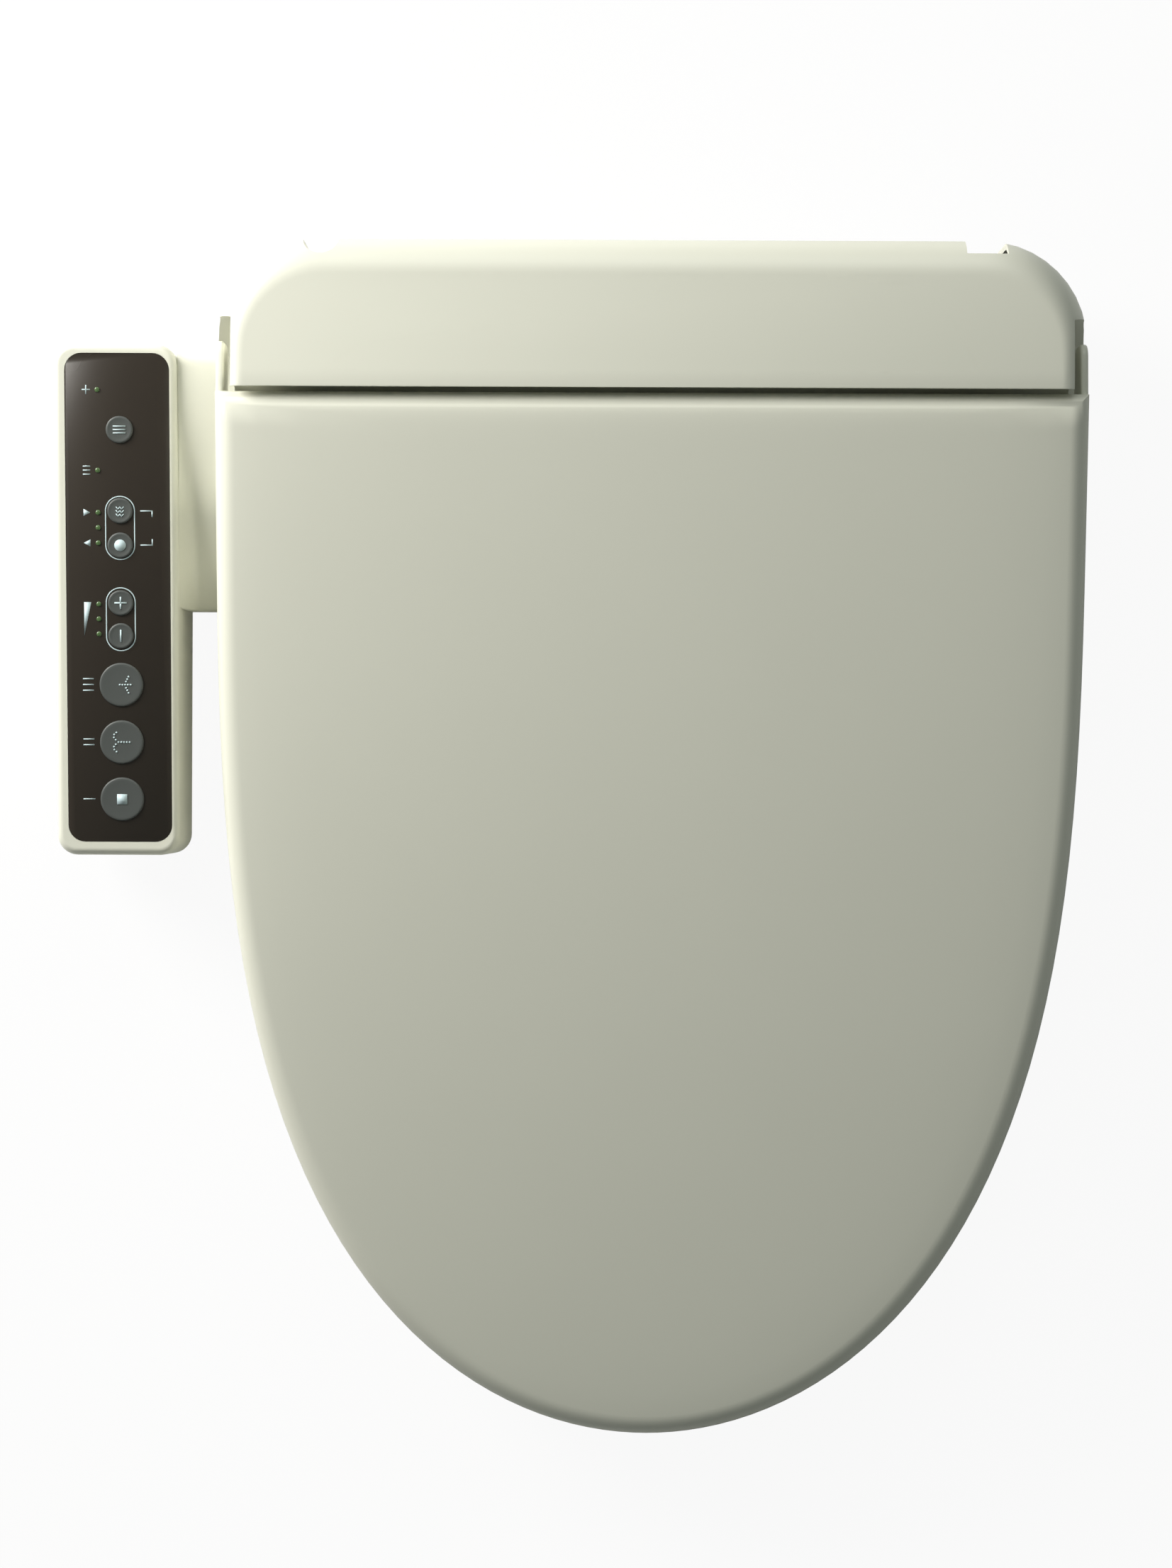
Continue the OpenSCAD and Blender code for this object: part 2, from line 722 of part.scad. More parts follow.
module nozzle() color("whitesmoke") nozzle_path() difference() {
    union() {
        along_nozzle(0, nozzle_l, nozzle_r);
        translate([-2, rack_y, 0]) cube([4, nozzle_l - rack_y - 1, rack_z - tooth_root + 0.1]);
        for (i = [0 : floor((nozzle_l - rack_y - 3) / tooth_pitch) - 1])
            translate([-2, rack_y + (i + 0.5) * tooth_pitch, rack_z])
                rotate([90, 0, 90]) linear_extrude(4) rack_tooth();
    }
    for (y = [5, 10]) translate([0, y, nozzle_r - 2]) cylinder(h = 4, r = 0.8);
    along_nozzle(12, nozzle_l + 1, 3);
}

module nozzle_pinion() color("white") nozzle_path() translate([-1.8, pinion_y, pinion_axis_z])
    rotate([90, 0, 90]) difference() {
        linear_extrude(3.6) union() {
            circle(pinion_r - tooth_root, $fn = 48);
            for (i = [0 : pinion_teeth - 1]) rotate(i * 360 / pinion_teeth - 90) polygon([
                [pinion_r - tooth_root - 0.4, -0.34 * tooth_pitch], [pinion_r - tooth_root, -0.3 * tooth_pitch],
                [pinion_r + tooth_tip, -0.1 * tooth_pitch], [pinion_r + tooth_tip, 0.1 * tooth_pitch],
                [pinion_r - tooth_root, 0.3 * tooth_pitch], [pinion_r - tooth_root - 0.4, 0.34 * tooth_pitch]
            ]);
        }
        translate([0, 0, -1]) cylinder(h = 6, r = 1.53);
    }

module nozzle_housing() color("whitesmoke") nozzle_path() difference() {
    union() {
        translate([-10, 8, -10]) cube([20, nozzle_l - 4, 17]);
        translate([5, pinion_y - 10, 0]) cube([5, 20, pinion_axis_z + 10]);
        for (y = [20, 96]) translate([-18, y, -10]) cube([36, 10, 4]);
    }
    along_nozzle(-1, nozzle_l + 1, nozzle_r + 0.3);
    translate([-2.4, 0, 0]) cube([4.8, nozzle_l + 1, 30]);
    translate([-3, pinion_y - 9, nozzle_r + 0.8]) cube([6, 18, 30]);
    translate([2, pinion_y, pinion_axis_z]) rotate([0, 90, 0]) cylinder(h = 10, r = 2.5);
    for (y = [25, 101], x = [-14, 14]) translate([x, y, -11]) cylinder(h = 6, r = 1.6);
}

module nozzle_motor() color("silver") nozzle_path() translate([10, pinion_y, pinion_axis_z]) rotate([0, 90, 0]) {
    cylinder(h = 18, r = 9.5);
    translate([0, 0, -12.5]) cylinder(h = 13, r = 1.5);
}

// ---------------------------------------------------------------- electrics

board_at = [-112, 34, 30];

module main_board() color("darkgreen") translate(board_at) {
    cube([84, 1.6, 62]);
    translate([8, -10, 8]) cube([28, 10, 22]);
    translate([44, -14, 10]) cube([26, 14, 26]);
    translate([8, -8, 40]) cube([20, 8, 14]);
    for (x = [44, 60]) translate([x, -14, 42]) cube([10, 14, 10]);
}

module wiring_harness() color("white") {
    start = board_at + [0, 0.8, 54];
    hose([start, start + [-8, 0, 0], [-150, 0, 66], [-184, -22, 54], [-206, -30, 56], [-224, -44, 58], [-224, -44, 71]], 2.2);
}

base_plate();
rear_cover();
neck_cover();
console_case();
console_bottom();
panel_film();
indicator_lights();
panel_board();
mounting_plate();
bolt_retainers();
release_button();
lid();
lid_bumpers();
seat_top();
seat_bottom();
seat_heater();
seat_bumpers();
hinge_pins();
soft_close_dampers();
water_tank();
tank_heater();
thermal_fuse();
solenoid_valve();
inlet_fitting();
inlet_strainer();
water_hoses();
nozzle_housing();
nozzle();
nozzle_motor();
nozzle_pinion();
main_board();
wiring_harness();
cord_gland();
drain_plug();
screws();
button_clean();
button_water_temp();
button_seat_temp();
button_pressure_up();
button_pressure_down();
button_front_wash();
button_rear_wash();
button_stop();
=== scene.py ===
import json
from math import atan, atan2, cos, pi, radians, sin, sqrt

import bmesh
import bpy
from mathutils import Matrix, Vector


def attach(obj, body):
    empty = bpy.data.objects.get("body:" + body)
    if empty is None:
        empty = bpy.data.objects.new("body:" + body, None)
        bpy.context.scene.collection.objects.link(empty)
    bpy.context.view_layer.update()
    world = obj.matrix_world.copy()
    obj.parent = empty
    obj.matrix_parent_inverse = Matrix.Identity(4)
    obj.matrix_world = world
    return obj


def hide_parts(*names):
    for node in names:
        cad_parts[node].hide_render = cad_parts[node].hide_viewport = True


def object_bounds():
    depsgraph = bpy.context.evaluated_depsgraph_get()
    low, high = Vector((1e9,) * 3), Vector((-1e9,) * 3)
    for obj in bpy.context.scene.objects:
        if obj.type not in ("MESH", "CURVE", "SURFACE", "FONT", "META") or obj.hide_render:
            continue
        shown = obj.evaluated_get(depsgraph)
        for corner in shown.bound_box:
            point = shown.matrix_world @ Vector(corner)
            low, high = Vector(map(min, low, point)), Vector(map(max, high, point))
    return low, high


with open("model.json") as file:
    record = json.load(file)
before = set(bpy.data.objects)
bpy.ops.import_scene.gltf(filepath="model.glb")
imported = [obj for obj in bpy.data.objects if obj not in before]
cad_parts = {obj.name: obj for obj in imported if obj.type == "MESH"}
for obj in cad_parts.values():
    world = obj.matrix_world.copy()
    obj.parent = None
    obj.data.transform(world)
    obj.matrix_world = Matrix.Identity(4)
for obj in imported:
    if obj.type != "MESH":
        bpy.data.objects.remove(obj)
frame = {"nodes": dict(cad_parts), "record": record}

MM = 0.001
cad_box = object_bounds()

# The camera stands 1.7 m above the seat and looks straight down on it through a long lens.
camera = bpy.data.objects.new("camera", bpy.data.cameras.new("camera"))
bpy.context.collection.objects.link(camera)
camera.location = (-0.028, -0.1802, 1.7)
camera.rotation_euler = (0, 0, radians(0.23))
camera.data.lens = 83.2
camera.data.sensor_width = 36
camera.data.clip_start = 0.05
bpy.context.scene.camera = camera
bpy.context.scene.view_settings.view_transform = "Standard"


def lamp(name, place, aim, size, watts, colour):
    data = bpy.data.lights.new(name, "AREA")
    data.shape = "DISK"
    data.size = size
    data.energy = watts
    data.color = colour
    obj = bpy.data.objects.new(name, data)
    bpy.context.collection.objects.link(obj)
    obj.location = place
    obj.rotation_euler = (Vector(aim) - Vector(place)).to_track_quat("-Z", "Y").to_euler()


# A large soft key lamp behind the left shoulder of the seat, and a weak fill from the front.
lamp("key_lamp", (-1.0, 0.5, 0.62), (0, -0.1, 0.1), 0.7, 21, (1, 0.98, 0.93))
lamp("rear_lamp", (0.1, 1.7, 1.7), (0, -0.1, 0.1), 1.4, 10, (0.95, 1, 0.96))
world = bpy.data.worlds.new("studio")
bpy.context.scene.world = world
world.use_nodes = True
world.node_tree.nodes["Background"].inputs["Color"].default_value = (0.88, 0.95, 0.9, 1)
world.node_tree.nodes["Background"].inputs["Strength"].default_value = 0.16


# The floor is a plain white sheet that shows white to the camera and still takes the shadow.
def floor_material():
    mat = bpy.data.materials.new("floor_sheet")
    mat.use_nodes = True
    nodes, links = mat.node_tree.nodes, mat.node_tree.links
    nodes["Principled BSDF"].inputs["Base Color"].default_value = (0.9, 0.9, 0.9, 1)
    nodes["Principled BSDF"].inputs["Roughness"].default_value = 0.9
    glow = nodes.new("ShaderNodeEmission")
    path = nodes.new("ShaderNodeLightPath")
    seen = nodes.new("ShaderNodeMath")
    seen.operation = "MULTIPLY"
    seen.inputs[1].default_value = 0.93
    links.new(path.outputs["Is Camera Ray"], seen.inputs[0])
    mix = nodes.new("ShaderNodeMixShader")
    links.new(seen.outputs[0], mix.inputs[0])
    links.new(nodes["Principled BSDF"].outputs[0], mix.inputs[1])
    links.new(glow.outputs[0], mix.inputs[2])
    links.new(mix.outputs[0], nodes["Material Output"].inputs[0])
    return mat


floor_mesh = bpy.data.meshes.new("floor")
floor_mesh.from_pydata([(-4, -4, 0), (4, -4, 0), (4, 4, 0), (-4, 4, 0)], [], [(0, 1, 2, 3)])
floor = bpy.data.objects.new("floor", floor_mesh)
floor.location.z = cad_box[0][2] - 0.0005
bpy.context.collection.objects.link(floor)
floor.data.materials.append(floor_material())


# Moulded plastic: one base colour with a faint cloudiness, and the fine grain of the mould's skin.
def moulded(name, colour, roughness=0.3, cloud=0.03, grain=0.02, grain_scale=2400, metallic=0.0, coat=0.0):
    mat = bpy.data.materials.new(name)
    mat.use_nodes = True
    nodes, links = mat.node_tree.nodes, mat.node_tree.links
    shader = nodes["Principled BSDF"]
    shader.inputs["Metallic"].default_value = metallic
    shader.inputs["Coat Weight"].default_value = coat
    shader.inputs["Coat Roughness"].default_value = 0.08
    place = nodes.new("ShaderNodeTexCoord")
    noise = nodes.new("ShaderNodeTexNoise")
    noise.inputs["Scale"].default_value = 14
    noise.inputs["Detail"].default_value = 4
    links.new(place.outputs["Object"], noise.inputs["Vector"])
    ramp = nodes.new("ShaderNodeMapRange")
    ramp.inputs["To Min"].default_value = 1 - cloud
    ramp.inputs["To Max"].default_value = 1 + cloud
    links.new(noise.outputs[0], ramp.inputs["Value"])
    tint = nodes.new("ShaderNodeVectorMath")
    tint.operation = "SCALE"
    tint.inputs[0].default_value = colour
    links.new(ramp.outputs[0], tint.inputs["Scale"])
    links.new(tint.outputs[0], shader.inputs["Base Color"])
    gloss = nodes.new("ShaderNodeMapRange")
    gloss.inputs["To Min"].default_value = max(roughness - 0.04, 0.02)
    gloss.inputs["To Max"].default_value = roughness + 0.05
    links.new(noise.outputs[0], gloss.inputs["Value"])
    links.new(gloss.outputs[0], shader.inputs["Roughness"])
    fine = nodes.new("ShaderNodeTexNoise")
    fine.inputs["Scale"].default_value = grain_scale
    links.new(place.outputs["Object"], fine.inputs["Vector"])
    bump = nodes.new("ShaderNodeBump")
    bump.inputs["Strength"].default_value = grain
    bump.inputs["Distance"].default_value = 0.0002
    links.new(fine.outputs[0], bump.inputs["Height"])
    links.new(bump.outputs[0], shader.inputs["Normal"])
    return mat


ivory = moulded("ivory_plastic", (0.80, 0.80, 0.70), roughness=0.36, cloud=0.012)


def piece(name, verts, faces, material, body, smooth=40, scale=MM):
    """A mesh piece in millimetres that rides on a body."""
    mesh = bpy.data.meshes.new(name)
    mesh.from_pydata([tuple(c * scale for c in v) for v in verts], [], faces)
    bm = bmesh.new()
    bm.from_mesh(mesh)
    bmesh.ops.remove_doubles(bm, verts=bm.verts, dist=1e-6)
    bmesh.ops.recalc_face_normals(bm, faces=bm.faces)
    bm.to_mesh(mesh)
    bm.free()
    obj = bpy.data.objects.new(name, mesh)
    bpy.context.collection.objects.link(obj)
    mesh.materials.append(material)
    mesh.shade_smooth()
    if body:
        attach(obj, body)
    return obj


def loft(rings, closed_ends=True):
    """Vertices and faces that join rings of equal length, one after another."""
    n = len(rings[0])
    verts = [v for ring in rings for v in ring]
    faces = []
    for k in range(len(rings) - 1):
        for i in range(n):
            j = (i + 1) % n
            faces.append((k * n + i, k * n + j, (k + 1) * n + j, (k + 1) * n + i))
    if closed_ends:
        faces.append(tuple(range(n - 1, -1, -1)))
        faces.append(tuple((len(rings) - 1) * n + i for i in range(n)))
    return verts, faces


def apply_modifiers(obj):
    graph = bpy.context.evaluated_depsgraph_get()
    mesh = bpy.data.meshes.new_from_object(obj.evaluated_get(graph))
    obj.modifiers.clear()
    obj.data = mesh


def cut(obj, *tools):
    for tool in tools:
        mod = obj.modifiers.new("cut", "BOOLEAN")
        mod.operation = "DIFFERENCE"
        mod.solver = "EXACT"
        mod.object = tool
    apply_modifiers(obj)
    for tool in tools:
        bpy.data.objects.remove(tool)


def soften(obj, width, segments=3, angle=35):
    mod = obj.modifiers.new("soften", "BEVEL")
    mod.width = width * MM
    mod.segments = segments
    mod.limit_method = "ANGLE"
    mod.angle_limit = radians(angle)
    mod.harden_normals = False
    mod.use_clamp_overlap = True
    apply_modifiers(obj)
    for face in obj.data.polygons:
        face.use_smooth = True
    obj.data.set_sharp_from_angle(angle=radians(50))


# The lid is one injection-moulded shell with a rolled edge and an almost flat crown. Cheeks at its rear
# corners carry the hinge bosses, and reach back as ears beside the housing.
lid_half = 190
lid_reach = 474
lid_rear = 10
lid_top = 134
lid_slope = 67 / (lid_reach - lid_rear)
lid_skirt = 20.5
lid_wall = 2.8


def lid_height(y):
    return lid_top + lid_slope * (y + lid_rear)


def nose(half, reach, rear, inset, steps=40):
    """Outline of lid and seat from above: a blunt oval with a straight rear edge."""
    length = 400 * (reach - inset) / reach
    side = []
    for i in range(1, steps + 1):
        t = length * (i / steps) ** 2.2
        side.append(((half - inset) * sqrt(max(0, 1 - (1 - t / length) ** 3)), t - reach + inset))
    back = -rear - min(inset, 6) - max(inset - 6, 0) * 0.1
    for i in range(1, 7):
        y = side[steps - 1][1]
        side.append((half - inset, y + (back - y) * i / 6))
    rear_edge = [(half - inset - (half - inset) * 2 * i / 12, back) for i in range(1, 12)]
    left = [(-x, y) for x, y in reversed(side)]
    return side + rear_edge + left + [(0, -reach + inset)]


def leaned(outline, depth, height):
    return [(x, y, height(y) - depth) for x, y in outline]


rolled = [(0, lid_skirt), (0, 9)]
for k in range(1, 9):
    angle = k / 8 * pi / 2
    rolled.append((9 * (1 - cos(angle)), 9 - 8 * sin(angle)))
crown = [(20, 0.55), (40, 0.25), (70, 0.08), (110, 0), (150, 0), (180, 0)]
rings = [leaned(nose(lid_half, lid_reach, lid_rear, inset), depth, lid_height) for inset, depth in rolled + crown]
verts, faces = loft(rings, closed_ends=False)
n_ring = len(rings[0])
faces.append(tuple((len(rings) - 1) * n_ring + i for i in range(n_ring)))
lid = piece("lid_shell", verts, faces, ivory, "lid")
thick = lid.modifiers.new("wall", "SOLIDIFY")
thick.thickness = lid_wall * MM
thick.offset = -1
apply_modifiers(lid)
lid.data.shade_smooth()
lid.data.set_sharp_from_angle(angle=radians(45))
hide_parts("lid")


def extruded(name, outline, x0, x1, material, body, soft=0.8):
    """A plate whose outline lies in Y and Z, between two places along X."""
    rings = [[(x, y, z) for y, z in outline] for x in (x0, x1)]
    verts, faces = loft(rings)
    obj = piece(name, verts, faces, material, body)
    if soft:
        soften(obj, soft)
    return obj


def arc(cy, cz, r, start, stop, steps=8):
    return [
        (
            cy + r * cos(radians(start + (stop - start) * i / steps)),
            cz + r * sin(radians(start + (stop - start) * i / steps)),
        )
        for i in range(steps + 1)
    ]


hinge_y = -20
hinge_z = 123
ear_outline = (
    [(-56, lid_height(-56) - lid_skirt)]
    + arc(-36, 109, 6, 250, 265, 2)
    + arc(4.6, 107, 8, 270, 350, 6)
    + arc(6.6, 117, 6, 0, 85, 6)
    + [(-20, lid_height(-20) - 8.6), (-56, lid_height(-56) - 10)]
)


def bar(name, x0, x1, radius, y, z, material, body, steps=40, soft=0.4):
    """A turned or moulded round bar along X."""
    outline = arc(y, z, radius, 0, 360 * (steps - 1) / steps, steps - 1)
    return extruded(name, outline, x0, x1, material, body, soft)


for side, label in ((-1, "panel_side"), (1, "free_side")):
    ends = sorted((side * (lid_half - 3.4), side * (lid_half - 0.05)))
    ear = extruded(f"lid_ear_{label}", ear_outline, *ends, ivory, "lid", 1.2)
    ends = sorted((side * 177, side * 188))
    boss = bar(f"lid_boss_{label}", *ends, 5.5, hinge_y, hinge_z, ivory, "lid")

# The rear housing is a deep ivory cover over the water parts. Its rounded top ends in a lip behind the
# lid, and its front drops to a deck that the lid and seat hinges stand on.
house_half = 192.5
house_back = 57
house_front = 60
house_top = 136
deck = 99
dive_r = sqrt(10**2 + 11**2) + 0.8


def plan_ring(half, back, front, r, z, corner=16, steps=10):
    ring = []
    for i in range(steps + 1):
        a = radians(90 * i / steps)
        ring.append((half - r + r * sin(a), back - r + r * cos(a)))
    ring = ring[::1]
    points = [(x, y) for x, y in ring]
    points += [(half, back - r - (back - r + front - 4) * i / 8) for i in range(1, 8)]
    points += [(half - 4 + 4 * cos(radians(90 * i / 4)), 4 - front - 4 * sin(radians(90 * i / 4))) for i in range(5)]
    mirrored = [(-x, y) for x, y in reversed(points)]
    points += [((half - 4) * (1 - 2 * i / 16), -front) for i in range(1, 16)]
    points += mirrored
    points += [((half - r) * (2 * i / 16 - 1), back) for i in range(1, 16)]
    return [(x, y, z) for x, y in points]


def house_block(name, i, bottom=3.0):
    rings = [plan_ring(house_half - i, house_back - i, house_front - i, 44 - i, bottom)]
    rings.append(plan_ring(house_half - i, house_back - i, house_front - i, 44 - i, 60))
    rings.append(plan_ring(house_half - i - 1, house_back - i, house_front - i, 44 - i, 95))
    round_r = 17 - i
    for k in range(13):
        a = radians(90 * k / 12)
        d = round_r * (1 - cos(a))
        rings.append(
            plan_ring(
                house_half - i - 3 - d * 0.75, house_back - i - d, house_front - i,
                44 - i - d * 0.6, house_top - i - round_r + round_r * sin(a),
            )
        )
    verts, faces = loft(rings)
    return piece(name, verts, faces, ivory, None)


def block(name, low, high):
    """A plain cutting block."""
    verts = [
        (x, y, z)
        for z in (low[2], high[2])
        for x, y in ((low[0], low[1]), (high[0], low[1]), (high[0], high[1]), (low[0], high[1]))
    ]
    return piece(name, *loft([verts[:4], verts[4:]]), ivory, None)


def round_tool(name, start, stop, radius, steps=64):
    """A round cutting bar between two points."""
    a, b = Vector(start), Vector(stop)
    turn = (b - a).to_track_quat("Z", "Y").to_matrix()
    rings = []
    for end in (a, b):
        rings.append([
            tuple(end + turn @ Vector((radius * cos(2 * pi * i / steps), radius * sin(2 * pi * i / steps), 0)))
            for i in range(steps)
        ])
    return piece(name, *loft(rings), ivory, None)


def front_cuts(i):
    lip = -lid_rear + 1.2 + i
    tools = [
        round_tool("dive_tool", (-230, hinge_y, hinge_z), (230, hinge_y, hinge_z), dive_r + i),
        block("deck_tool", (-230, -90, deck - i), (230, lip, 200)),
    ]
    ear_r = sqrt(32.6**2 + 24**2) + 2
    for side in (-1, 1):
        inner_end, outer_end = (side * (182.5 - i), hinge_y, hinge_z), (side * 230, hinge_y, hinge_z)
        tools.append(round_tool("ear_tool", inner_end, outer_end, ear_r + i))
    return tools


house = house_block("rear_cover_shell", 0)
cut(house, *front_cuts(0))
soften(house, 1.6, 3, 30)
hollow = house_block("hollow_tool", 2.6, 1.0)
cut(hollow, *front_cuts(2.6))
cut(hollow, round_tool("groove_tool", (-144, house_back, -5), (-144, house_back, 200), 10.6))
cut(house, hollow)
nozzle_dir = Vector((0, -cos(radians(28)), -sin(radians(28))))
mouth = Vector((0, -60, 32))
cut(
    house,
    round_tool("groove_tool", (-144, house_back, -5), (-144, house_back, 200), 8),
    round_tool("mouth_tool", mouth - nozzle_dir * 12, mouth + nozzle_dir * 12, 10.5),
    round_tool("release_tool", (180, -20, 26), (200, -20, 26), 9.3),
    block("wire_tool", (-194.5, -45, 30), (-186.5, -5, 60)),
    round_tool("gland_tool", (-144, 37, 22), (-144, 67, 22), 6.2),
    block("notch_tool", (136, house_back - 7, -5), (154, house_back + 5, 200)),
)
house.data.shade_smooth()
house.data.set_sharp_from_angle(angle=radians(40))
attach(house, "housing")
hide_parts("rear_cover")
for side, label in ((-1, "panel_side"), (1, "free_side")):
    ends = sorted((side * 104, side * 160))
    barrel = bar(f"hinge_barrel_{label}", *ends, 5.9, hinge_y, hinge_z, ivory, "housing")
    web_outline = [(-24, deck - 1), (-16, deck - 1), (-16, hinge_z), (-24, hinge_z)]
    web = extruded(f"hinge_web_{label}", web_outline, *ends, ivory, "housing", 0.8)

# The control panel's case is a slim ivory box with a sloping face, moulded with a soft edge all round.
case_left = -266
case_right = -211
case_back = 14.7
case_front = -213
case_foot = 16
face_slope = 22 / (case_back - case_front)
face_tilt = atan(face_slope)


def face_height(y):
    return 88.5 + face_slope * y


def slot_ring(left, right, front, back, r, steps=8):
    """A rounded rectangle seen from above."""
    points = []
    for cx, cy, start in (
        (right - r, back - r, 0), (left + r, back - r, 90), (left + r, front + r, 180), (right - r, front + r, 270)
    ):
        points += [
            (cx + r * cos(radians(start + 90 * i / steps)), cy + r * sin(radians(start + 90 * i / steps)))
            for i in range(steps + 1)
        ]
    return points


def case_ring(inset, drop=None, level=None, r=9):
    outline = slot_ring(case_left + inset, case_right - inset, case_front + inset, case_back - inset, max(r - inset, 1))
    return [(x, y, face_height(y) - drop if level is None else level) for x, y in outline]


edge = 4.0
rings = [case_ring(0, level=case_foot), case_ring(0, drop=30), case_ring(0, drop=edge)]
for k in range(1, 9):
    a = radians(90 * k / 8)
    rings.append(case_ring(edge * 0.75 * (1 - cos(a)), drop=edge * (1 - sin(a))))
rings.append(case_ring(edge * 0.75 + 0.4, drop=0))
verts, faces = loft(rings)
case = piece("console_case_shell", verts, faces, ivory, None)
rings = [case_ring(2.4, level=case_foot - 2), case_ring(2.4, drop=2.4)]
cut(case, piece("case_hollow", *loft(rings), ivory, None))
film_left = -237.4 - 46.5 / 2
film_right = film_left + 46.5
film_front = -207
film_back = 10.5


def film_ring(grow, drop, r=7.5):
    outline = slot_ring(film_left - grow, film_right + grow, film_front - grow, film_back + grow, r + grow)
    return [(x, y, face_height(y) - drop) for x, y in outline]


cut(case, piece("film_pocket", *loft([film_ring(0.1, 0.8), film_ring(0.1, -6)]), ivory, None))
case.data.shade_smooth()
case.data.set_sharp_from_angle(angle=radians(40))
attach(case, "housing")
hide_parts("console_case")

# The neck is a moulded saddle that joins the panel to the housing, highest at the rear and falling
# away to the front under the lid's edge.
neck_left = -211.2
neck_right = -192
neck_front = -102
neck_back = 13.6


def neck_height(x, y):
    t = min(1, max(0, (13.6 - y) / 115.6))
    fall = 85.5 - 31 * t**1.6 - (6 * (max(0, t - 0.85) / 0.15) ** 2)
    across_t = (x - neck_left) / (neck_right - neck_left)
    near_case = max(0, 1 - across_t / 0.42)
    lift = (face_height(y) - 4 - fall) * near_case**2 * 0.75
    back_t = max(0, (y - (neck_back - 7)) / 7)
    return fall + lift - 7 * (1 - sqrt(max(0, 1 - back_t**2)))


nx, ny = 18, 64
top = [
    (neck_left + (neck_right - neck_left) * i / nx, neck_front + (neck_back - neck_front) * j / ny)
    for j in range(ny + 1)
    for i in range(nx + 1)
]
verts = [(x, y, neck_height(x, y)) for x, y in top] + [(x, y, 34) for x, y in top]
faces = []
half_count = len(top)
for j in range(ny):
    for i in range(nx):
        a = j * (nx + 1) + i
        quad = (a, a + 1, a + nx + 2, a + nx + 1)
        faces.append(quad)
        faces.append(tuple(v + half_count for v in reversed(quad)))
edge_loop = (
    [i for i in range(nx + 1)]
    + [j * (nx + 1) + nx for j in range(1, ny + 1)]
    + [ny * (nx + 1) + i for i in range(nx - 1, -1, -1)]
    + [j * (nx + 1) for j in range(ny - 1, 0, -1)]
)
for a, b in zip(edge_loop, edge_loop[1:] + edge_loop[:1]):
    faces.append((a, b, b + half_count, a + half_count))
neck = piece("neck_saddle", verts, faces, ivory, "housing")
soften(neck, 2.2, 3, 50)
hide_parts("neck_cover")

# The panel's face is a dark brown film, printed from behind and glued into a shallow pocket.
film_paint = moulded("brown_film", (0.035, 0.028, 0.022), roughness=0.26, cloud=0.05, grain=0.015, grain_scale=1500)
rings = [film_ring(0, 0.78), film_ring(0, 0.22), film_ring(-0.15, 0.1)]
film = piece("panel_face_film", *loft(rings), film_paint, "housing")
film.data.set_sharp_from_angle(angle=radians(40))
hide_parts("panel_film")

# The keys are grey caps that stand a little proud of the film, with a rolled rim and a shallow dish.
key_grey = moulded("key_grey", (0.085, 0.093, 0.090), roughness=0.45, cloud=0.04, grain=0.08, grain_scale=1800)
print_blue = moulded("pale_print", (0.60, 0.74, 0.78), roughness=0.5, cloud=0.02, grain=0.0)
column_x = -236.4


def on_face(x, y, up=0.0):
    """A place on the panel's sloping face, lifted off it by a height in millimetres."""
    normal = Vector((0, -sin(face_tilt), cos(face_tilt)))
    return Vector((x, y, face_height(y))) + normal * up


def face_points(flat, x, y, up):
    """Points drawn flat around a centre, laid on the sloping face."""
    return [tuple(on_face(x + px, y + py * cos(face_tilt), up)) for px, py in flat]


def circle_points(r, steps=48, cx=0.0, cy=0.0):
    return [(cx + r * cos(2 * pi * i / steps), cy + r * sin(2 * pi * i / steps)) for i in range(steps)]


def cap(name, x, y, r, body, node):
    profile = [(r, -2.6), (r, 0.35), (r - 0.12, 0.62), (r - 0.45, 0.82), (r - 0.9, 0.88)]
    profile += [(r * f, 0.88 - 0.16 * (1 - f) * 2 * f - 0.12 * (1 - f)) for f in (0.8, 0.6, 0.4, 0.2, 0.05)]
    rings = [face_points(circle_points(radius), x, y, up) for radius, up in profile]
    obj = piece(name, *loft(rings), key_grey, body)
    obj.data.set_sharp_from_angle(angle=radians(50))
    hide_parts(node)
    return obj


keys = {
    "clean": (-23.2, 6.05), "water_temp": (-59.1, 5.7), "seat_temp": (-74.4, 5.7), "pressure_up": (-100.0, 5.7),
    "pressure_down": (-114.7, 5.7), "front_wash": (-136.5, 9.8), "rear_wash": (-162.2, 9.8), "stop": (-187.8, 9.8),
}
for key, (y, r) in keys.items():
    cap(f"key_{key}_cap", column_x, y, r, f"key_{key}", f"button_{key}")


# The printed marks are thin pale ink: plain generic signs on the keys, and rings and ticks round them.
def ink(name, shapes, x, y, up, body):
    verts, faces = [], []
    for shape in shapes:
        start = len(verts)
        verts += face_points(shape, x, y, up)
        faces.append(tuple(range(start, start + len(shape))))
    obj = piece(name, verts, faces, print_blue, body)
    thick = obj.modifiers.new("ink", "SOLIDIFY")
    thick.thickness = 0.05 * MM
    thick.offset = 0
    apply_modifiers(obj)
    return obj


def stroke(x0, y0, x1, y1, w=0.5):
    d = Vector((x1 - x0, y1 - y0)).normalized() * (w / 2)
    s = Vector((-d.y, d.x))
    corners = ((x0, y0, -1, 1), (x0, y0, -1, -1), (x1, y1, 1, -1), (x1, y1, 1, 1))
    return [(px + d.x * a + s.x * b, py + d.y * a + s.y * b) for px, py, a, b in corners]


def dot(x, y, r=0.42):
    return circle_points(r, 20, x, y)


def plus(size, w=0.7):
    return [stroke(-size, 0, size, 0, w), stroke(0, -size, 0, -w / 2 - 0.01, w), stroke(0, w / 2 + 0.01, 0, size, w)]


